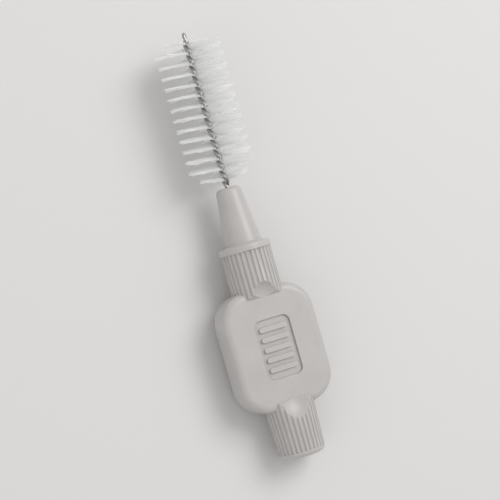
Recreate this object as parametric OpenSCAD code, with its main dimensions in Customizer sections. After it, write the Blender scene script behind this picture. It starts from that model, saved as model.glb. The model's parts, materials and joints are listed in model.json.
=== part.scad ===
// Interdental brush: a moulded grip handle with a head of twisted wire and filaments.
// The brush lies along Y with its bristle tip towards +Y, and its pad faces look up and down.
// The origin is under the middle of its length, level with the lowest bristles. Millimetres.

/* [Thumb pad] */
// Width of the pad across the brush
pad_w = 12.3; // [11:0.1:16]
// Length of the pad along the brush
pad_l = 15.2; // [12:0.1:20]
// Thickness between the two flat faces
pad_t = 4.2; // [3.6:0.1:5.2]
// Corner radius of the outline
pad_corner_r = 3.7; // [3:0.1:5]
// Radius of the soft rim round each face
pad_rim_r = 0.9; // [0.4:0.1:1.2]

/* [Grip panel on each pad face] */
// Length of the sunk panel along the brush
panel_l = 7.6; // [5:0.1:9]
// Width of the sunk panel
panel_w = 4.8; // [3:0.1:6]
// Corner radius of the panel
panel_corner_r = 0.9; // [0.4:0.1:1.4]
// Depth of the panel below the pad face
panel_depth = 0.3; // [0.1:0.05:0.4]
// Number of grip bars left standing in the panel
bar_count = 5; // [3:1:6]
// Width of one grip bar
bar_w = 0.6; // [0.3:0.05:0.7]
// Space between a bar's end and the side of the panel
bar_end_gap = 0.55; // [0.3:0.05:0.8]

/* [Collar] */
// Diameter over the ribs
collar_d = 6.4; // [5.8:0.1:7]
// Length from the pad to the shoulder
collar_l = 5.8; // [4:0.1:8]
// Diameter of the smooth land at the head end
land_d = 6.6; // [6.2:0.1:7.4]
// Length of the smooth land
land_l = 0.9; // [0.6:0.1:2]
// Radius of the land's front edge
land_edge_r = 0.45; // [0.1:0.05:0.5]

/* [End knob] */
// Diameter over the ribs where the knob leaves the pad
knob_d = 6.3; // [5.8:0.1:7]
// Diameter at the free end
knob_end_d = 5.8; // [5.4:0.1:6.2]
// Length of the knob
knob_l = 6.2; // [4:0.1:9]
// Radius of the edge at the free end
knob_edge_r = 0.7; // [0.3:0.1:1.2]

/* [Grip ribs] */
// Number of grooves round the collar and the knob
groove_count = 32; // [20:4:36]
// Radius of the round-bottomed groove between two ribs
groove_r = 0.17; // [0.12:0.01:0.22]

/* [Scoops where the pad faces run into the collar and the knob] */
// How far inside the edge of the flat face each scoop starts
scoop_inset = 0.2; // [0.1:0.1:0.8]
// How far the collar's scoop reaches past the pad's end
collar_scoop_reach = 0.8; // [0.4:0.1:1.4]
// How far the knob's scoop reaches past the pad's end
knob_scoop_reach = 1.5; // [0.8:0.1:2.2]
// Lean of the slope on each side of a scoop, in degrees from upright
scoop_lean = 40; // [10:5:55]

/* [Neck] */
// Length of the tapered neck
neck_l = 7.3; // [5:0.1:10]
// Diameter at the collar's shoulder
neck_base_d = 4.8; // [4.4:0.1:5.6]
// Diameter at the mouth, where the wire comes out
neck_tip_d = 3.1; // [2.8:0.1:3.6]
// Radius of the mouth's edge
neck_edge_r = 0.7; // [0.3:0.05:0.8]
// Radius of the fillet between neck and shoulder
neck_fillet_r = 0.3; // [0.1:0.05:0.4]

/* [Core wire] */
// Diameter of the wire itself
strand_d = 0.42; // [0.35:0.01:0.6]
// Length of one full twist of the two legs
twist_pitch = 2.7; // [2.4:0.1:4]
// Length of twisted wire outside the neck, with its folded tip
free_l = 20; // [17:0.5:21]
// Length of twisted wire held inside the neck
root_l = 6.4; // [4:0.1:6.6]
// Length over which the twist runs out before the fold
untwist_l = 0.8; // [0.4:0.1:1]

/* [Filaments] */
// Diameter of one filament
filament_d = 0.08; // [0.05:0.01:0.09]
// Distance from one filament to the next along the wire
filament_step = 0.1; // [0.1:0.01:0.12]
// Diameter of the round tuft
tuft_d = 8.6; // [7:0.1:9.5]
// Bare wire between the neck and the first filament
bare_root_l = 0.8; // [0.4:0.1:1.5]
// Bare wire past the last filament
bare_tip_l = 1.2; // [1.1:0.1:2]
// Length over which the tuft widens at the neck end
lead_in_l = 2; // [0.5:0.1:4]
// Diameter of the tuft at its first filament
lead_in_d = 5; // [3:0.1:7]
// Length over which the tuft narrows at the tip
lead_out_l = 0.8; // [0.3:0.1:3]
// Diameter of the tuft at its last filament
lead_out_d = 7.4; // [4:0.1:8.6]

/* [Clearances] */
// Radial room between the twisted wire and its bore in the neck
wire_fit = 0.03; // [0.02:0.01:0.1]
// Room between a filament and each leg of the wire
filament_fit = 0.015; // [0.01:0.005:0.03]
// Room between the lowest point of a scoop and the level of the pad face
scoop_fit = 0.03; // [0.01:0.01:0.05]

/* [Hidden] */

$fn = 96;
overrun = 1;
fillet_steps = 6;

// Where each scoop starts, and how deep each post sits in what carries it, measured from the pad's end
scoop_start = pad_rim_r + scoop_inset;
seat_l = scoop_start + scoop_inset;

axis_z = tuft_d / 2;
total_l = knob_l + pad_l + collar_l + neck_l + free_l;
knob_end_y = -total_l / 2;
knob_root_y = knob_end_y + knob_l;
pad_mid_y = knob_root_y + pad_l / 2;
collar_root_y = knob_root_y + pad_l;
shoulder_y = collar_root_y + collar_l;
mouth_y = shoulder_y + neck_l;

// Gap between the two legs, and the radius of the helix that each leg follows
leg_gap = filament_d + 2 * filament_fit;
helix_r = (strand_d + leg_gap) / 2;
wire_r = helix_r + strand_d / 2;
bore_r = wire_r + wire_fit;
bore_l = root_l + strand_d / 2;

strand_sides = 8;
rings_per_turn = 16;
fold_rings = 8;
fold_y = free_l - wire_r;
untwist_y = fold_y - untwist_l;
leg_rings = round((root_l + fold_y) / twist_pitch * rings_per_turn);

tuft_l = free_l - bare_root_l - bare_tip_l;
filament_levels = round(tuft_l / filament_step);
web_half_w = strand_d / 2;
filament_tip_share = 0.8;
bar_round_share = 0.9;

handle_colour = [0.73, 0.72, 0.70];
wire_colour = [0.42, 0.42, 0.43];
filament_colour = [0.93, 0.94, 0.93];

// Puts a shape drawn along +Z onto the brush's axis, pointing at the bristle tip
module towards_tip(y) {
    translate([0, y, axis_z]) rotate([-90, 0, 0]) children();
}

// The same, pointing at the knob's end
module towards_knob(y) {
    translate([0, y, axis_z]) rotate([90, 0, 0]) children();
}

// Half section of a tapered post with a rounded front edge and a straight seat below zero
module post_section(root_r, front_r, length, edge_r, seat = 0) {
    lean = atan((root_r - front_r) / length);
    centre_r = front_r + edge_r * (tan(lean) - 1 / cos(lean));
    edge_start = [centre_r + edge_r * cos(lean), length - edge_r + edge_r * sin(lean)];
    foot = seat > 0 ? [[0, -seat], [root_r, -seat], [root_r, 0]] : [[0, 0], [root_r, 0]];
    polygon([each foot, edge_start, [centre_r, length], [0, length]]);
    translate([centre_r, length - edge_r]) circle(edge_r);
}

// Round-bottomed grooves side by side round a post of radius r, whose side leans inwards
module grooves(r, length, lean = 0) {
    for (turn = [0:groove_count - 1])
        rotate(turn * 360 / groove_count)
            translate([r, 0, 0]) rotate([0, -lean, 0])
                translate([0, 0, -seat_l - overrun])
                    cylinder(r = groove_r, h = length + seat_l + overrun);
}

// Fillet between the neck's side and the shoulder it stands on
module neck_fillet() {
    lean = atan((neck_base_d - neck_tip_d) / 2 / neck_l);
    centre_r = neck_base_d / 2 + neck_fillet_r * (1 / cos(lean) - tan(lean));
    curve = [
        for (step = [0:fillet_steps])
            let (a = 270 - (90 - lean) * step / fillet_steps)
            [centre_r + neck_fillet_r * cos(a), neck_fillet_r * (1 + sin(a))]
    ];
    polygon([[0, -seat_l], [centre_r, -seat_l], each curve, [0, curve[fillet_steps][1]]]);
}

module neck() {
    rotate_extrude() {
        post_section(neck_base_d / 2, neck_tip_d / 2, neck_l, neck_edge_r, seat_l);
        neck_fillet();
    }
}

module collar() {
    difference() {
        translate([0, 0, -seat_l]) cylinder(d = collar_d, h = seat_l + collar_l - land_edge_r);
        grooves(collar_d / 2, collar_l - land_l);
    }
    translate([0, 0, collar_l - land_l])
        rotate_extrude() post_section(land_d / 2, land_d / 2, land_l, land_edge_r);
}

module knob() {
    difference() {
        rotate_extrude() post_section(knob_d / 2, knob_end_d / 2, knob_l, knob_edge_r, seat_l);
        grooves(knob_d / 2, knob_l - knob_edge_r, atan((knob_d - knob_end_d) / 2 / knob_l));
    }
}

// Half of the pad's section, flat on both faces and round at the rim
module pad_half_section(reach) {
    translate([0, -pad_t / 2]) square([reach - pad_rim_r, pad_t]);
    translate([0, pad_rim_r - pad_t / 2]) square([reach, pad_t - 2 * pad_rim_r]);
    for (face = [-1, 1])
        translate([reach - pad_rim_r, face * (pad_t / 2 - pad_rim_r)]) circle(pad_rim_r);
}

module pad_section(reach) {
    pad_half_section(reach);
    mirror([1, 0]) pad_half_section(reach);
}

// Two crossed prisms with a quarter of a round coin in each corner
module pad() {
    corner_x = pad_w / 2 - pad_corner_r;
    corner_y = pad_l / 2 - pad_corner_r;
    rotate([90, 0, 0])
        linear_extrude(height = 2 * corner_y, center = true) pad_section(pad_w / 2);
    rotate([90, 0, 90])
        linear_extrude(height = 2 * corner_x, center = true) pad_section(pad_l / 2);
    for (side = [0, 1], end = [0, 1])
        mirror([side, 0, 0]) mirror([0, end, 0])
            translate([corner_x, corner_y, 0])
                rotate_extrude(angle = 90) pad_half_section(pad_corner_r);
}

module rounded_outline(w, l, r) {
    square([w - 2 * r, l], center = true);
    square([w, l - 2 * r], center = true);
    for (x = [-1, 1], y = [-1, 1])
        translate([x * (w / 2 - r), y * (l / 2 - r)]) circle(r);
}

// What is cut away round the bars in one pad face
module panel_cut() {
    bar_pitch = panel_l / (bar_count + 1);
    bar_l = panel_w - 2 * bar_end_gap;
    translate([0, 0, pad_t / 2 - panel_depth])
        linear_extrude(height = panel_depth + overrun)
            difference() {
                rounded_outline(panel_w, panel_l, panel_corner_r);
                for (bar = [1:bar_count])
                    translate([0, bar * bar_pitch - panel_l / 2])
                        rounded_outline(bar_l, bar_w, bar_w / 2 * bar_round_share);
            }
}

// What clears one pad face of the round post that enters the pad: a ball with its lowest point where the
// flat face ends, and a leaning cut that slopes the post's sides
module scoop_cut(post_d, reach) {
    run = scoop_start + reach;
    depth = post_d / 2 - pad_t / 2 - scoop_fit;
    ball_r = (run * run + depth * depth) / (2 * depth);
    rise = depth + overrun;
    translate([0, pad_l / 2 - scoop_start, pad_t / 2]) {
        translate([0, 0, scoop_fit + ball_r]) sphere(ball_r);
        rotate([90, 0, 90])
            linear_extrude(height = post_d + 2 * overrun, center = true)
                polygon([[-seat_l, 0], [0, 0], [rise * tan(scoop_lean), rise], [-seat_l, rise]]);
    }
}

module handle() {
    color(handle_colour)
    difference() {
        union() {
            towards_tip(shoulder_y) neck();
            towards_tip(collar_root_y) collar();
            towards_knob(knob_root_y) knob();
            translate([0, pad_mid_y, axis_z]) pad();
        }
        for (face = [0, 1])
            translate([0, pad_mid_y, axis_z]) mirror([0, 0, face]) {
                scoop_cut(collar_d, collar_scoop_reach);
                mirror([0, 1, 0]) scoop_cut(knob_d, knob_scoop_reach);
                panel_cut();
            }
        towards_tip(mouth_y - bore_l) cylinder(r = bore_r, h = bore_l + overrun);
    }
}

function unit(v) = v / norm(v);

// How far the filaments have turned at a distance y from the mouth: steady, then easing to none at the fold
function twist(y) =
    360 / twist_pitch * (y - pow(max(0, y - untwist_y), 2) / (2 * untwist_l));

function outward(angle) = [cos(angle), 0, sin(angle)];
function sideways(angle) = [-sin(angle), 0, cos(angle)];

// The legs lie a quarter turn from the filaments that they grip
function leg_angle(y) = twist(y) + 90;

// A station is a point on the wire's centre line and a direction square to the line
function leg_station(side, y) =
    [side * helix_r * outward(leg_angle(y)) + [0, y, 0], sideways(leg_angle(y))];
function fold_station(angle) =
    [helix_r * cos(angle) * outward(leg_angle(fold_y)) + [0, fold_y + helix_r * sin(angle), 0],
     sideways(leg_angle(fold_y))];
function leg_y(ring) = -root_l + (root_l + fold_y) * ring / leg_rings;

// One length of wire: up one leg, round the fold at the tip and down the other leg
wire_line = [
    for (ring = [0:leg_rings]) leg_station(1, leg_y(ring)),
    for (ring = [1:fold_rings - 1]) fold_station(180 * ring / fold_rings),
    for (ring = [leg_rings:-1:0]) leg_station(-1, leg_y(ring)),
];

function wire_ring(i) =
    let (
        last = len(wire_line) - 1,
        along = unit(wire_line[min(i + 1, last)][0] - wire_line[max(i - 1, 0)][0]),
        across = unit(cross(wire_line[i][1], along)),
        over = cross(along, across)
    )
    [for (k = [0:strand_sides - 1])
        let (a = 360 * k / strand_sides)
        wire_line[i][0] + strand_d / 2 * (cos(a) * across + sin(a) * over)];

// Triangles between two rings of a tube whose rings lie one after the other in the point list
function tube_side(ring, sides) = [
    for (k = [0:sides - 1])
        let (a = ring * sides + k, b = ring * sides + (k + 1) % sides)
        each [[a, a + sides, b + sides], [a, b + sides, b]]
];

module core_wire() {
    rings = len(wire_line);
    end = (rings - 1) * strand_sides;
    color(wire_colour)
    translate([0, mouth_y, axis_z])
        polyhedron(
            points = [for (i = [0:rings - 1]) each wire_ring(i)],
            faces = [
                for (i = [0:rings - 2]) each tube_side(i, strand_sides),
                for (k = [1:strand_sides - 2]) each
                    [[0, k, k + 1], [end, end + k + 1, end + k]],
            ]
        );
}

// Radius of the tuft at a distance y from the mouth
function tuft_r(y) =
    let (
        from_start = y - bare_root_l,
        to_end = bare_root_l + tuft_l - y,
        grown = lead_in_d / 2 + (tuft_d - lead_in_d) / 2 * min(1, from_start / lead_in_l),
        cut = lead_out_d / 2 + (tuft_d - lead_out_d) / 2 * min(1, to_end / lead_out_l)
    )
    min(grown, cut);

// The four corners of the web between the legs: two at its +r edge, then two at its -r edge
function web_ring(y) =
    let (out = web_half_w * outward(twist(y)), side = filament_d / 2 * sideways(twist(y)))
    [out - side, out + side, side - out, -side - out] + [for (k = [0:3]) [0, y, 0]];

// The four corners of a filament's tip, in the order of the web corners that it grows from
function filament_tip(side, low_y) =
    let (
        y = low_y + filament_d / 2,
        out = side * tuft_r(y) * outward(twist(y)),
        half = filament_tip_share * filament_d / 2,
        across = side * half * sideways(twist(y)),
        up = [0, half, 0],
        centre = out + [0, y, 0]
    )
    [centre - across - up, centre + across - up, centre + across + up, centre - across + up];

function filament_y(level) =
    bare_root_l + level * (tuft_l - filament_d) / (filament_levels - 1);

// Two triangles for the four-cornered face a, b, c, d, given clockwise as seen from outside.
// They meet along a to c, which on the twisted web is the diagonal that keeps clear of the wire.
function quad(a, b, c, d) = [[a, b, c], [a, c, d]];

// A filament from the web corners a, b (below) and c, d (above) to the tip points from t on
function filament_faces(a, b, c, d, t) = [
    each quad(a, b, t + 1, t),
    each quad(b, c, t + 2, t + 1),
    each quad(c, d, t + 3, t + 2),
    each quad(d, a, t, t + 3),
    each quad(t, t + 1, t + 2, t + 3),
];

// Filaments side by side along a thin twisted web, all in one skin
module bristles() {
    per_level = 16;
    levels = filament_levels;
    top = (levels - 1) * per_level + 4;
    color(filament_colour)
    translate([0, mouth_y, axis_z])
        polyhedron(
            points = [
                for (level = [0:levels - 1])
                    let (y = filament_y(level))
                    each [
                        each web_ring(y),
                        each web_ring(y + filament_d),
                        each filament_tip(1, y),
                        each filament_tip(-1, y),
                    ]
            ],
            faces = [
                for (level = [0:levels - 1])
                    let (p = level * per_level)
                    each [
                        each quad(p + 1, p + 2, p + 6, p + 5),
                        each quad(p + 3, p, p + 4, p + 7),
                        each filament_faces(p, p + 1, p + 5, p + 4, p + 8),
                        each filament_faces(p + 2, p + 3, p + 7, p + 6, p + 12),
                    ],
                for (level = [0:levels - 2], k = [0:3])
                    let (p = level * per_level + 4, q = p + per_level - 4, n = (k + 1) % 4)
                    each quad(p + n, q + n, q + k, p + k),
                each quad(3, 2, 1, 0),
                each quad(top, top + 1, top + 2, top + 3),
            ]
        );
}

handle();
core_wire();
bristles();
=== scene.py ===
# %% [markdown]
# # An interdental brush
#
# This lesson dresses a small brush that cleans the gaps between teeth. On the real object a
# stiff moulded handle grips one length of thin steel wire, which is folded in half and twisted,
# and the twist grips several hundred nylon filaments. The engineering model gives the handle
# its true shape, so here it only needs its finish. The wire and the filaments follow simple
# rules along a twist, so both are grown with Geometry Nodes.

# %% Load the engineering model
import json
import math

import bpy
from mathutils import Matrix, Vector


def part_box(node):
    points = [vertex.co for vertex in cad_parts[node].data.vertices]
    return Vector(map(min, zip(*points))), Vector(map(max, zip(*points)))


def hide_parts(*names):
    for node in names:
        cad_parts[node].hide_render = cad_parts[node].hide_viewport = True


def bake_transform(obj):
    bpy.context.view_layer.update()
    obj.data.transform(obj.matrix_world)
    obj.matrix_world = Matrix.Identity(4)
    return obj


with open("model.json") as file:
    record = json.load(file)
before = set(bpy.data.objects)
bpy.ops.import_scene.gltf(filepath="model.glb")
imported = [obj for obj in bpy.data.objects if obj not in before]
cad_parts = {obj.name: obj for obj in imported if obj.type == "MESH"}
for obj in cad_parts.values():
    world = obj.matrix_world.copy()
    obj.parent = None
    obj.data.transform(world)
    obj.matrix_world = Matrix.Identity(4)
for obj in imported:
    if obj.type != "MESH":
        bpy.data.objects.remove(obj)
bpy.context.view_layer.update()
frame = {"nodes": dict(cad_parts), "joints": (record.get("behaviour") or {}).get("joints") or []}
MM = 0.001

# %% [markdown]
# ## Where the head begins
#
# The wire leaves the plastic at the neck's mouth, and everything on the head is measured from
# there. The mouth is also the pivot of the one joint, because that is where a finger curves the
# wire. Its place could be typed in, but read from the joint it always agrees with the
# engineering model. The boxes of the three nodes give the lengths along the brush in the same
# way.

# %% Places along the brush
joint = frame["joints"][0]
mouth = Vector(joint["pos_m"])
handle_low, handle_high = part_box("handle")
wire_low, wire_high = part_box("core_wire")
tuft_low, tuft_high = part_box("bristles")
print("neck's mouth in mm:", [round(value / MM, 2) for value in mouth])
print("handle length in mm:", round((handle_high.y - handle_low.y) / MM, 2))

# %% [markdown]
# ## A shorthand for node trees
#
# A rule such as "the legs turn once every 2.7 mm" is one line of arithmetic, but as nodes it is
# a dozen boxes. Building them by hand hides the rule, so a small class lets a node's output be
# added and multiplied like a number, and each operation leaves a Math node behind. Shader trees
# and geometry trees both have the Math node, so the same shorthand serves the finishes and the
# shapes.

# %% Fill sockets and add nodes
def feed(tree, socket, value):
    """Links a term or another node's socket, or sets a plain value."""
    if isinstance(value, Term):
        tree.links.new(value.socket, socket)
    elif isinstance(value, bpy.types.NodeSocket):
        tree.links.new(value, socket)
    else:
        socket.default_value = value


def add_node(tree, kind, inputs=None, **settings):
    """Adds a node, sets its options, and fills or links its named inputs."""
    node = tree.nodes.new(kind)
    for option, value in settings.items():
        setattr(node, option, value)
    for name, value in (inputs or {}).items():
        feed(tree, node.inputs[name], value)
    return node


# %% Arithmetic that leaves Math nodes behind
class Term:
    """A number in a node tree. Arithmetic on it adds Math nodes."""

    def __init__(self, tree, socket):
        self.tree = tree
        self.socket = socket

    def apply(self, operation, *others):
        """Adds one Math node that works on this number and the others."""
        node = add_node(self.tree, "ShaderNodeMath", operation=operation)
        for socket, value in zip(node.inputs, (self, *others)):
            feed(self.tree, socket, value)
        return Term(self.tree, node.outputs[0])

    def __add__(self, other):
        return self.apply("ADD", other)

    def __sub__(self, other):
        return self.apply("SUBTRACT", other)

    def __mul__(self, other):
        return self.apply("MULTIPLY", other)

    def __truediv__(self, other):
        return self.apply("DIVIDE", other)

    def least(self, other):
        return self.apply("MINIMUM", other)

    def most(self, other):
        return self.apply("MAXIMUM", other)


print("beside + - * / a term knows:", [name for name in vars(Term) if not name.startswith("_")])

# %% [markdown]
# ## A soft mottle for every finish
#
# No moulded, drawn or spun surface is perfectly even. Photographs of each material could be
# wrapped round the pieces, but they would need unwrapping and would blur close up. Noise in the
# piece's own coordinates needs neither, and it stays put when the piece moves. One node group
# makes the mottle, broad clouds with fine grain over them, and each finish places it with its
# own scales. A scale counts in metres: 350 gives clouds about 3 mm wide.

# %% The mottle as a node group
def mottle_group():
    """A node group that gives a mask: broad clouds with fine grain over them."""
    tree = bpy.data.node_groups.new("soft mottle", "ShaderNodeTree")
    tree.interface.new_socket("Vector", in_out="INPUT", socket_type="NodeSocketVector")
    for label in ("Cloud Scale", "Grain Scale", "Grain Share"):
        tree.interface.new_socket(label, in_out="INPUT", socket_type="NodeSocketFloat")
    tree.interface.new_socket("Mask", in_out="OUTPUT", socket_type="NodeSocketFloat")
    given = tree.nodes.new("NodeGroupInput").outputs
    result = tree.nodes.new("NodeGroupOutput").inputs
    clouds = add_node(tree, "ShaderNodeTexNoise", {
        "Vector": given["Vector"], "Scale": given["Cloud Scale"], "Detail": 3.0,
    })
    grain = add_node(tree, "ShaderNodeTexNoise", {
        "Vector": given["Vector"], "Scale": given["Grain Scale"], "Detail": 2.0,
    })
    cloud = Term(tree, clouds.outputs[0])
    fine = Term(tree, grain.outputs[0])
    feed(tree, result["Mask"], cloud + (fine - cloud) * Term(tree, given["Grain Share"]))
    return tree


MOTTLE = mottle_group()
print("the mottle has", len(MOTTLE.nodes), "nodes")


# %% Start a material and place the mottle in it
def new_material(name):
    """A new material, its tree, its Principled shader and the piece's own coordinates."""
    material = bpy.data.materials.new(name)
    material.use_nodes = True
    tree = material.node_tree
    place = tree.nodes.new("ShaderNodeTexCoord").outputs["Object"]
    return material, tree, tree.nodes["Principled BSDF"], place


def mottle(tree, place, cloud_scale, grain_scale, grain_share):
    """Puts the shared mottle into a material and gives its mask."""
    node = add_node(tree, "ShaderNodeGroup", {
        "Vector": place, "Cloud Scale": cloud_scale,
        "Grain Scale": grain_scale, "Grain Share": grain_share,
    }, node_tree=MOTTLE)
    return Term(tree, node.outputs["Mask"])


# %% Turn a mask into a number or a colour
NOISE_LOW = 0.3
NOISE_HIGH = 0.7


def stretch(tree, mask, low, high):
    """Moves the range where most of a noise lies to the range from low to high."""
    node = add_node(tree, "ShaderNodeMapRange", {
        "Value": mask, "From Min": NOISE_LOW, "From Max": NOISE_HIGH, "To Min": low, "To Max": high,
    })
    return Term(tree, node.outputs["Result"])


def between(tree, mask, low, high):
    """A colour from low, where the mask is 0, to high, where it is 1."""
    mix = add_node(tree, "ShaderNodeMix", data_type="RGBA")
    feed(tree, mix.inputs["Factor"], mask)
    feed(tree, mix.inputs["A"], (*low, 1.0))
    feed(tree, mix.inputs["B"], (*high, 1.0))
    return mix.outputs["Result"]


print("a noise is read from", NOISE_LOW, "to", NOISE_HIGH)

# %% [markdown]
# ## Moulded plastic
#
# The handle is warm grey polypropylene. Its mould was roughened with sparks, which leaves a grain
# far finer than a tenth of a millimetre, so it shows as a satin gloss and not as bumps. The grain
# could be cut into the mesh, but no mesh is that fine, so a Bump node tilts the light instead. A
# little subsurface scattering softens the thin rims, as in the real plastic. The two halves of
# the mould meet along the brush's middle plane and leave a faint line on the pad's side and down
# the neck. It is drawn from the height above the axis, which needs no unwrapping either.

# %% The line where the mould closes
def mould_line(tree, place):
    """A mask that is 1 on the brush's middle plane and 0 a hair's breadth from it."""
    line_core = 0.02 * MM
    line_edge = 0.06 * MM
    across = add_node(tree, "ShaderNodeSeparateXYZ", {"Vector": place})
    height = (Term(tree, across.outputs["Z"]) - mouth.z).apply("ABSOLUTE")
    line = add_node(tree, "ShaderNodeMapRange", {
        "Value": height, "From Min": line_core, "From Max": line_edge, "To Min": 1.0, "To Max": 0.0,
    })
    return Term(tree, line.outputs["Result"])


# %% The handle's finish
def moulded_grey():
    """Satin warm grey polypropylene with a mould grain and a faint line where the mould closes."""
    material, tree, shader, place = new_material("moulded grey")
    mask = mottle(tree, place, cloud_scale=350.0, grain_scale=9000.0, grain_share=0.35)
    darker = (0.485, 0.464, 0.450)
    lighter = (0.525, 0.504, 0.490)
    feed(tree, shader.inputs["Base Color"], between(tree, stretch(tree, mask, 0.0, 1.0), darker, lighter))
    feed(tree, shader.inputs["Roughness"], stretch(tree, mask, 0.29, 0.40))
    shader.inputs["IOR"].default_value = 1.49
    shader.inputs["Subsurface Weight"].default_value = 0.25
    shader.inputs["Subsurface Radius"].default_value = (1.0, 0.9, 0.8)
    shader.inputs["Subsurface Scale"].default_value = 0.6 * MM

    grain_share = 0.25
    line_share = 1.2
    grain = add_node(tree, "ShaderNodeTexNoise", {"Vector": place, "Scale": 7000.0, "Detail": 2.0})
    relief = Term(tree, grain.outputs[0]) * grain_share + mould_line(tree, place) * line_share
    bump = add_node(tree, "ShaderNodeBump", {
        "Height": relief, "Strength": 0.35, "Distance": 0.03 * MM,
    })
    feed(tree, shader.inputs["Normal"], bump.outputs["Normal"])
    return material


HANDLE_FINISH = moulded_grey()
print(HANDLE_FINISH.name, "has", len(HANDLE_FINISH.node_tree.nodes), "nodes")

# %% [markdown]
# ## The handle
#
# The handle is one moulding: a tapered neck, a ribbed collar, a flat thumb pad and a ribbed knob.
# It could be modelled again with subdivision surfaces, but the engineering mesh already has the
# ribs, the scoops and the sunk panels at their true sizes. It keeps that mesh and only takes the
# moulded finish.

# %% Dress the handle
handle = frame["nodes"]["handle"]
handle.data.materials.clear()
handle.data.materials.append(HANDLE_FINISH)
print("the handle has", len(handle.data.polygons), "faces")

# %% [markdown]
# ## Trees that grow a piece
#
# The wire and the filaments each come from a Geometry Nodes tree. A tree could hold its numbers
# inside, but then nobody could read or change them, so each size is a named input. The modifier
# takes an input by its identifier, because two inputs may share a name. Each tree ends by making
# its copies real, because an export drops copies, and by setting the material. The finished shape
# is kept as a plain mesh, which needs no tree to be drawn, bent or exported.

# %% Begin a tree with named inputs
SOCKET_KINDS = {float: "NodeSocketFloat", int: "NodeSocketInt"}


def geometry_tree(name, sizes):
    """A new tree, the named sizes that it takes, and the socket that its shape goes to."""
    tree = bpy.data.node_groups.new(name, "GeometryNodeTree")
    tree.interface.new_socket("Geometry", in_out="INPUT", socket_type="NodeSocketGeometry")
    for label, value in sizes.items():
        kind = SOCKET_KINDS[type(value)]
        tree.interface.new_socket(label, in_out="INPUT", socket_type=kind)
    tree.interface.new_socket("Geometry", in_out="OUTPUT", socket_type="NodeSocketGeometry")
    given = tree.nodes.new("NodeGroupInput").outputs
    result = tree.nodes.new("NodeGroupOutput").inputs[0]
    return tree, {label: Term(tree, given[label]) for label in sizes}, result


# %% End a tree
def sweep(tree, line, section, material, result):
    """Sweeps a section along a line, and ends the tree with real geometry and its material."""
    skin = add_node(tree, "GeometryNodeCurveToMesh", {
        "Curve": line.outputs[0], "Profile Curve": section.outputs[0], "Fill Caps": True,
    })
    smooth = add_node(tree, "GeometryNodeSetShadeSmooth", {"Geometry": skin.outputs[0]})
    real = add_node(tree, "GeometryNodeRealizeInstances", {"Geometry": smooth.outputs[0]})
    dressed = add_node(tree, "GeometryNodeSetMaterial", {
        "Geometry": real.outputs[0], "Material": material,
    })
    feed(tree, result, dressed.outputs[0])


# %% Grow a piece and keep it as a plain mesh
def grow(name, tree, sizes):
    """Runs the tree on an empty mesh with the given sizes, and keeps the result."""
    piece = bpy.data.objects.new(name, bpy.data.meshes.new(name))
    bpy.context.scene.collection.objects.link(piece)
    modifier = piece.modifiers.new(name, "NODES")
    modifier.node_group = tree
    # The sizes go in before the object is first evaluated.
    for item in tree.interface.items_tree:
        if item.in_out == "INPUT" and item.name in sizes:
            modifier[item.identifier] = sizes[item.name]
    graph = bpy.context.evaluated_depsgraph_get()
    grown = bpy.data.meshes.new_from_object(
        piece.evaluated_get(graph), preserve_all_data_layers=True, depsgraph=graph
    )
    piece.modifiers.clear()
    piece.data = grown
    grown.name = name
    triangles = sum(len(face.vertices) - 2 for face in grown.polygons)
    print(name, "has", triangles, "triangles from", len(tree.nodes), "nodes")
    return piece


# %% [markdown]
# ## Drawn steel
#
# The wire is bright stainless steel, pulled through a die that scores fine lines along it. A
# stretched noise could draw the lines in the brush's coordinates, but they would run straight
# through the twist. Instead the wire's tree marks every point with how far along and how far
# round the wire it is, and the noise is read there: slowly along, quickly round. The colour of a
# metal is the colour of its reflections, so the tone is a mid grey and the lamps do the rest.

# %% The wire's finish
def drawn_steel():
    """Bright stainless wire with fine lines along it from the drawing die."""
    material, tree, shader, place = new_material("drawn steel")
    along = add_node(tree, "ShaderNodeAttribute", attribute_name="wire_run")
    around = add_node(tree, "ShaderNodeAttribute", attribute_name="wire_turn")
    patches_per_diameter = 6.0
    lines_round_wire = 26.0
    lines = add_node(tree, "ShaderNodeCombineXYZ", {
        "X": Term(tree, along.outputs["Fac"]) * patches_per_diameter,
        "Y": Term(tree, around.outputs["Fac"]) * lines_round_wire,
    })
    streaks = add_node(tree, "ShaderNodeTexNoise", {
        "Vector": lines.outputs[0], "Scale": 1.0, "Detail": 2.0,
    })
    mask = mottle(tree, place, cloud_scale=900.0, grain_scale=8000.0, grain_share=0.4)
    mottle_share = 0.4
    streak_share = 0.6
    shade = mask * mottle_share + Term(tree, streaks.outputs[0]) * streak_share
    darker = (0.32, 0.315, 0.31)
    lighter = (0.50, 0.495, 0.49)
    feed(tree, shader.inputs["Base Color"], between(tree, stretch(tree, shade, 0.0, 1.0), darker, lighter))
    feed(tree, shader.inputs["Roughness"], stretch(tree, shade, 0.20, 0.36))
    shader.inputs["Metallic"].default_value = 1.0
    return material


WIRE_FINISH = drawn_steel()
print(WIRE_FINISH.name, "has", len(WIRE_FINISH.node_tree.nodes), "nodes")

# %% [markdown]
# ## The twisted wire
#
# One wire runs up the brush, folds at the tip and runs back, and both legs turn round the axis.
# A Screw modifier could twist two circles, but it can't close the fold, and a curve drawn by hand
# would never keep its pitch. A single rule gives the whole line. A point is counted from the top
# of the fold: within a quarter of the fold's circle it swings out from the axis, and past that it
# goes straight down its leg while the twist turns it. Its sign says which leg it is on. A round
# section swept along that line makes the wire, so there is no seam anywhere.

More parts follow.
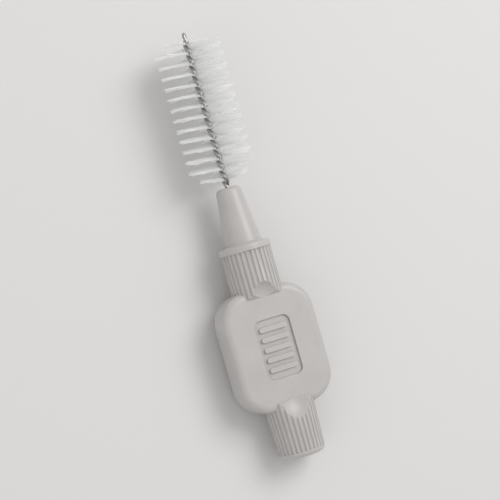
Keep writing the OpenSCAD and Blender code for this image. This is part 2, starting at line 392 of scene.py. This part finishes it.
# %% Sizes that the wire's tree takes
strand_d = 0.42 * MM
leg_gap = 0.11 * MM
twist_pitch = 2.7 * MM
wire_sizes = {
    "Wire Diameter": strand_d,
    "Helix Radius": (strand_d + leg_gap) / 2,
    "Twist Pitch": twist_pitch,
    "Untwist Length": 0.8 * MM,
    "Root Length": mouth.y - wire_low.y,
    "Free Length": wire_high.y - mouth.y,
    "Mouth Y": mouth.y,
    "Axis Height": mouth.z,
    "Rings": 900,
    "Section Sides": 20,
}
print("turns along the free wire, about:", round(wire_sizes["Free Length"] / twist_pitch))


# %% The twist as a rule
def twist_turn(y, pitch, untwist_y, untwist):
    """How far the twist has turned at a distance y from the mouth, in radians.

    The twist is steady up to untwist_y, and slows to nothing over the untwist length.
    """
    past = (y - untwist_y).most(0.0)
    return (y - past * past / (untwist * 2.0)) / pitch * math.tau


# %% The line that the wire follows
def wire_line(tree, given):
    """One unbroken curve up one leg, round the fold and down the other."""
    radius = given["Helix Radius"]
    fold_y = given["Free Length"] - radius - given["Wire Diameter"] / 2.0
    quarter = radius * (math.pi / 2)
    leg = given["Root Length"] + fold_y

    index = Term(tree, tree.nodes.new("GeometryNodeInputIndex").outputs[0])
    # Each ring's distance from the top of the fold: minus on one leg, plus on the other.
    signed = (index / (given["Rings"] - 1.0) - 0.5) * 2.0 * (leg + quarter)
    run = signed.apply("ABSOLUTE")
    swing = run.least(quarter) / radius
    out = radius * swing.apply("SINE") * signed.apply("SIGN")
    y = fold_y + radius * swing.apply("COSINE") - (run - quarter).most(0.0)
    untwist_y = fold_y - given["Untwist Length"]
    turn = twist_turn(y.least(fold_y), given["Twist Pitch"], untwist_y, given["Untwist Length"])
    # The legs lie a quarter turn from the filaments that they grip.
    turn = turn + math.pi / 2

    points = add_node(tree, "GeometryNodeMeshLine", {"Count": given["Rings"]})
    spot = add_node(tree, "ShaderNodeCombineXYZ", {
        "X": out * turn.apply("COSINE"),
        "Y": y + given["Mouth Y"],
        "Z": out * turn.apply("SINE") + given["Axis Height"],
    })
    placed = add_node(tree, "GeometryNodeSetPosition", {
        "Geometry": points.outputs[0], "Position": spot.outputs[0],
    })
    line = add_node(tree, "GeometryNodeMeshToCurve", {"Mesh": placed.outputs[0]})
    return add_node(tree, "GeometryNodeStoreNamedAttribute", {
        "Geometry": line.outputs[0], "Name": "wire_run", "Value": run / given["Wire Diameter"],
    }, data_type="FLOAT", domain="POINT")


# %% The wire's tree
def twisted_wire_tree(sizes):
    """The wire's line with a round section swept along it."""
    tree, given, result = geometry_tree("twisted wire", sizes)
    ring = add_node(tree, "GeometryNodeCurvePrimitiveCircle", {
        "Resolution": given["Section Sides"], "Radius": given["Wire Diameter"] / 2.0,
    })
    part = tree.nodes.new("GeometryNodeSplineParameter")
    section = add_node(tree, "GeometryNodeStoreNamedAttribute", {
        "Geometry": ring.outputs[0], "Name": "wire_turn", "Value": part.outputs["Factor"],
    }, data_type="FLOAT", domain="POINT")
    sweep(tree, wire_line(tree, given), section, WIRE_FINISH, result)
    return tree


wire = grow("twisted_wire", twisted_wire_tree(wire_sizes), wire_sizes)

# %% [markdown]
# ## Milky nylon
#
# A filament is clear nylon with a little white in it. Glass-like transmission would be true to
# one filament, but through hundreds of them light loses its way and the tuft turns dark. Seen
# from a hand's length away a tuft is milky white, so the finish is a plain bright white with
# some gloss, and sheen adds the light that thin filaments catch at their edges. Each filament
# carries a tone of its own, so that neighbours can be told apart.

# %% The filaments' finish
def milky_nylon():
    """Milky white nylon, each filament a little lighter or darker than the next."""
    material, tree, shader, place = new_material("milky nylon")
    tint = add_node(tree, "ShaderNodeAttribute", attribute_name="filament_tone")
    mask = mottle(tree, place, cloud_scale=1200.0, grain_scale=6000.0, grain_share=0.3)
    tint_share = 0.7
    mottle_share = 0.3
    shade = Term(tree, tint.outputs["Fac"]) * tint_share + mask * mottle_share
    darker = (0.93, 0.93, 0.925)
    lighter = (0.99, 0.99, 0.985)
    feed(tree, shader.inputs["Base Color"], between(tree, shade, darker, lighter))
    feed(tree, shader.inputs["Roughness"], stretch(tree, mask, 0.28, 0.42))
    shader.inputs["IOR"].default_value = 1.53
    shader.inputs["Sheen Weight"].default_value = 1.0
    shader.inputs["Sheen Roughness"].default_value = 0.6
    return material


FILAMENT_FINISH = milky_nylon()
print(FILAMENT_FINISH.name, "has", len(FILAMENT_FINISH.node_tree.nodes), "nodes")

# %% [markdown]
# ## The filaments
#
# Each filament lies across the brush between the two legs, and both its ends stick out. The
# twist turns each one a little further than the last, so together they form a double spiral
# with a bright fin every half turn. Blender's hair could draw them, but hair has no mesh to
# export, so every filament is a thin tube with five sides. No two real filaments agree: each is
# cut a little long or short, leans a degree or two and has a slight curl, so those come from
# seeded random numbers, which are the same on every run.

# %% Sizes that the tuft's tree takes
tuft_l = tuft_high.y - tuft_low.y
lead_in_l = 2.0 * MM
tuft_sizes = {
    "Filaments": 800,
    "Filament Diameter": 0.06 * MM,
    "Segments": 8,
    "Section Sides": 5,
    "Twist Pitch": twist_pitch,
    "Tuft Start": tuft_low.y - mouth.y,
    "Tuft Length": tuft_l,
    "Tuft Radius": (tuft_high.x - tuft_low.x) / 2,
    "Lead In Length": lead_in_l,
    "Lead In Radius": 2.5 * MM,
    "Lead Out Length": 0.8 * MM,
    "Lead Out Radius": 3.7 * MM,
    "Mouth Y": mouth.y,
    "Axis Height": mouth.z,
    "Angle Wander": math.radians(9.0),
    "Lean": math.radians(2.5),
    "Trim Share": 0.025,
    "Curl": 0.11 * MM,
    "Seed": 11,
}
print("tuft length in mm:", round(tuft_l / MM, 2))


# %% Random numbers
DRAWS = ("trim", "wander", "slant", "tone", "sideways", "lengthways")


def chance(tree, given, draw, low, high, key=None):
    """A random number between low and high, one for each key. Each draw has its own seed."""
    seed = given["Seed"] + float(1 + DRAWS.index(draw))
    node = add_node(tree, "FunctionNodeRandomValue", {"Seed": seed}, data_type="FLOAT")
    # The node has a Min, a Max and a Value for each type of number. These are the float ones.
    float_min, float_max, float_value = node.inputs[2], node.inputs[3], node.outputs[1]
    float_min.default_value = low
    float_max.default_value = high
    if key is not None:
        feed(tree, node.inputs["ID"], key)
    return Term(tree, float_value)


print("random draws for each filament:", len(DRAWS))


# %% How far each filament reaches
def filament_reach(tree, given, run):
    """From the axis to the filament's end: two cones and a cylinder, less what the blade took."""
    left = given["Tuft Length"] - run
    widening = (run / given["Lead In Length"]).least(1.0)
    narrowing = (left / given["Lead Out Length"]).least(1.0)
    near = widening * (given["Tuft Radius"] - given["Lead In Radius"]) + given["Lead In Radius"]
    far = narrowing * (given["Tuft Radius"] - given["Lead Out Radius"]) + given["Lead Out Radius"]
    trim = chance(tree, given, "trim", 0.0, 1.0) * given["Trim Share"]
    return near.least(far) * (trim * -1.0 + 1.0) - given["Filament Diameter"] / 2.0


# %% [markdown]
# ### From copies to curls
#
# The prototype is a straight line of points from -1 to 1, placed once for each filament and
# stretched to its reach. A copy can't bend on its own, so the lean and the curl are added after
# the copies are made real. What they need is carried there from the point that each copy stands
# on. The curl goes square to the filament, so the tuft stays as round as the blade cut it.

# %% Values that travel with a shape
def carried(tree, shape, **values):
    """Writes numbers on a shape's points, so that later steps can still read them there."""
    node = add_node(tree, "GeometryNodeCaptureAttribute", {"Geometry": shape}, domain="POINT")
    for name, value in values.items():
        node.capture_items.new("FLOAT", name)
        feed(tree, node.inputs[name], value)
    return node.outputs["Geometry"], {name: Term(tree, node.outputs[name]) for name in values}


# %% A point on the axis for each filament
def filament_roots(tree, given):
    """Points along the axis that carry the values of the filament that crosses there."""
    index = Term(tree, tree.nodes.new("GeometryNodeInputIndex").outputs[0])
    thin = given["Filament Diameter"]
    run = index / (given["Filaments"] - 1.0) * (given["Tuft Length"] - thin) + thin / 2.0
    y = run + given["Tuft Start"]
    reach = filament_reach(tree, given, run)
    wander = chance(tree, given, "wander", -1.0, 1.0) * given["Angle Wander"]
    # At so small a lean, a filament's end moves by its reach times the angle.
    slant = reach * chance(tree, given, "slant", -1.0, 1.0) * given["Lean"]

    line = add_node(tree, "GeometryNodeMeshLine", {"Count": given["Filaments"]})
    spot = add_node(tree, "ShaderNodeCombineXYZ", {
        "Y": y + given["Mouth Y"], "Z": given["Axis Height"],
    })
    placed = add_node(tree, "GeometryNodeSetPosition", {
        "Geometry": line.outputs[0], "Position": spot.outputs[0],
    })
    return carried(
        tree, placed.outputs[0], which=index, reach=reach, slant=slant,
        turn=y / given["Twist Pitch"] * math.tau + wander,
        tone=chance(tree, given, "tone", 0.0, 1.0),
    )


# %% The prototype filament
def straight_line(tree, given):
    """Points from -1 to 1 that carry their share of the way out."""
    line = add_node(tree, "GeometryNodeMeshLine", {
        "Count": given["Segments"] + 1.0,
        "Start Location": (-1.0, 0.0, 0.0), "Offset": (1.0, 0.0, 0.0),
    }, mode="END_POINTS")
    place = tree.nodes.new("GeometryNodeInputPosition")
    parts = add_node(tree, "ShaderNodeSeparateXYZ", {"Vector": place.outputs[0]})
    shape, values = carried(tree, line.outputs[0], share=Term(tree, parts.outputs["X"]))
    return shape, values["share"]


# %% A copy across the wire at each root
def straight_filaments(tree, roots, root, prototype):
    """The prototype at each root, turned with the twist, stretched to its reach and made real."""
    turned = add_node(tree, "ShaderNodeCombineXYZ", {"Y": root["turn"] * -1.0})
    stretched = add_node(tree, "ShaderNodeCombineXYZ", {"X": root["reach"], "Y": 1.0, "Z": 1.0})
    copies = add_node(tree, "GeometryNodeInstanceOnPoints", {
        "Points": roots, "Instance": prototype,
        "Rotation": turned.outputs[0], "Scale": stretched.outputs[0],
    })
    return add_node(tree, "GeometryNodeRealizeInstances", {"Geometry": copies.outputs[0]})


# %% Lean and curl
def lean_and_curl(tree, given, root, share):
    """How far each point moves away from its straight filament."""
    # The two halves of a filament have different numbers, so each curls its own way.
    half = root["which"] * 2.0 + share.apply("GREATER_THAN", 0.0)
    bend = share * share * given["Curl"]
    sideways = chance(tree, given, "sideways", -1.0, 1.0, half) * bend
    lengthways = chance(tree, given, "lengthways", -1.0, 1.0, half) * bend
    return add_node(tree, "ShaderNodeCombineXYZ", {
        "X": sideways * root["turn"].apply("SINE") * -1.0,
        "Y": share * root["slant"] + lengthways,
        "Z": sideways * root["turn"].apply("COSINE"),
    })


# %% The tuft's tree
def tuft_tree(sizes):
    """Filaments through the twist, each with its own cut, lean and curl."""
    tree, given, result = geometry_tree("filament tuft", sizes)
    roots, root = filament_roots(tree, given)
    prototype, share = straight_line(tree, given)
    straight = straight_filaments(tree, roots, root, prototype)
    moved = lean_and_curl(tree, given, root, share)
    curled = add_node(tree, "GeometryNodeSetPosition", {
        "Geometry": straight.outputs[0], "Offset": moved.outputs[0],
    })
    lines = add_node(tree, "GeometryNodeMeshToCurve", {"Mesh": curled.outputs[0]})
    toned = add_node(tree, "GeometryNodeStoreNamedAttribute", {
        "Geometry": lines.outputs[0], "Name": "filament_tone", "Value": root["tone"],
    }, data_type="FLOAT", domain="POINT")
    ring = add_node(tree, "GeometryNodeCurvePrimitiveCircle", {
        "Resolution": given["Section Sides"], "Radius": given["Filament Diameter"] / 2.0,
    })
    sweep(tree, toned, ring, FILAMENT_FINISH, result)
    return tree


tuft = grow("filament_tuft", tuft_tree(tuft_sizes), tuft_sizes)

# %% [markdown]
# ## The grown pieces take the solids' place
#
# On the real brush the wire curves over its first few millimetres when a finger pushes it, and
# the filaments there fan open and close with it. Here the grown wire and tuft are fixed in place,
# and the engineering solids that they stand for are hidden.

# %% Bodies and replaced solids
for piece, node, slot in ((wire, "core_wire", "wire_steel"), (tuft, "bristles", "filament_nylon")):
    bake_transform(piece)
    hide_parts(node)
    print(piece.name, "replaces", node)

# %% [markdown]
# ## The table
#
# The brush lies on a pale table. Its tuft is fatter than its knob, so it rests on the knob and on
# the first full filaments. The model itself has to stay level, so the table is tipped under it
# instead, from the filaments' foot up to the first point of the handle that it meets.

# %% Tip the table to the brush
rest_y = tuft_low.y + lead_in_l
slope = min(
    math.atan2(point.co.z - tuft_low.z, rest_y - point.co.y) for point in handle.data.vertices
)
print("the table tips by degrees:", round(math.degrees(slope), 2))

# %% Make the table
table_half = 1.5
table_corners = ((-1, -1), (1, -1), (1, 1), (-1, 1))
table_mesh = bpy.data.meshes.new("table")
table_mesh.from_pydata(
    [(x * table_half, y * table_half, 0.0) for x, y in table_corners], [], [(0, 1, 2, 3)]
)
table = bpy.data.objects.new("table", table_mesh)
bpy.context.scene.collection.objects.link(table)
table.matrix_world = (
    Matrix.Translation((0.0, rest_y, tuft_low.z)) @ Matrix.Rotation(-slope, 4, "X")
)
table_finish = bpy.data.materials.new("pale table")
table_finish.use_nodes = True
table_shader = table_finish.node_tree.nodes["Principled BSDF"]
table_shader.inputs["Base Color"].default_value = (0.70, 0.69, 0.685, 1.0)
table_shader.inputs["Roughness"].default_value = 0.7
table_mesh.materials.append(table_finish)
print("the table is", 2 * table_half, "m wide")

# %% [markdown]
# ## Light
#
# The light is a bright soft room with one large lamp from the upper right, as over a product
# table, and a weaker one opposite that keeps the shadows open. A small lamp would be simpler, but
# its hard shadows would hide the ribs and the wire. The white filaments are the brightest thing
# in view, so the power is set for them to stay short of pure white.

# %% The lamps and the room
def soft_lamp(name, place, size, power):
    """A square lamp that faces the brush."""
    light = bpy.data.lights.new(name, "AREA")
    light.size = size
    light.energy = power
    lamp = bpy.data.objects.new(name, light)
    bpy.context.scene.collection.objects.link(lamp)
    lamp.location = place
    # A lamp shines along its own -Z, so its +Z is turned away from the brush.
    lamp.rotation_mode = "QUATERNION"
    lamp.rotation_quaternion = Vector(place).to_track_quat("Z", "Y")
    print("the", name, "lamp is", round(Vector(place).length, 2), "m away")


soft_lamp("key", place=(0.20, 0.14, 0.32), size=0.24, power=0.82)
soft_lamp("fill", place=(-0.30, -0.10, 0.22), size=0.30, power=0.16)

world = bpy.data.worlds.new("room")
world.use_nodes = True
room = world.node_tree.nodes["Background"]
room.inputs["Color"].default_value = (0.95, 0.95, 0.95, 1.0)
room.inputs["Strength"].default_value = 0.63
bpy.context.scene.world = world
bpy.context.scene.view_settings.view_transform = "Standard"

# %% [markdown]
# ## Camera
#
# The camera looks down at the brush with its pad turned 20 degrees away, and the brush leans to
# the left in the picture. It could be placed by eye, but two angles say the same thing exactly.
# A long lens keeps the near and the far end at one scale, and the distance follows from how much
# of the picture the brush should fill.

# %% The camera's three directions
roll = math.radians(20.0)
tilt = math.radians(15.9)
back = Vector((-math.sin(roll), 0.0, math.cos(roll)))
brush_up = Vector((0.0, 1.0, 0.0))
brush_right = brush_up.cross(back)
right = brush_right * math.cos(tilt) - brush_up * math.sin(tilt)
up = brush_right * math.sin(tilt) + brush_up * math.cos(tilt)
print("the camera looks along:", [round(-value, 3) for value in back])

# %% What the camera has to take in
corners = [
    Vector((x, y, z))
    for low, high in ((handle_low, handle_high), (tuft_low, tuft_high), (wire_low, wire_high))
    for x in (low.x, high.x) for y in (low.y, high.y) for z in (low.z, high.z)
]
spans = [[corner.dot(way) for corner in corners] for way in (right, up, back)]
centres = [(min(span) + max(span)) / 2 for span in spans]
middle = right * centres[0] + up * centres[1] + back * centres[2]
widest = max(max(span) - min(span) for span in spans[:2])
print("the brush spans in mm:", round(widest / MM, 1))

# %% Place the camera
lens = 120.0
fill = 0.88
camera_data = bpy.data.cameras.new("camera")
camera_data.lens = lens
camera_data.clip_start = 0.01
camera_data.clip_end = 10.0
distance = widest / fill * lens / camera_data.sensor_width
camera = bpy.data.objects.new("camera", camera_data)
bpy.context.scene.collection.objects.link(camera)
# A camera looks along its own -Z, so its X, Y and Z are right, up and back.
camera.matrix_world = Matrix.Translation(middle + back * distance) @ Matrix(
    (right, up, back)
).transposed().to_4x4()
bpy.context.scene.camera = camera
print("camera distance in m:", round(distance, 3))

# %% [markdown]
# ## Closing
#
# The dressed brush has to stay inside the engineering model's box.
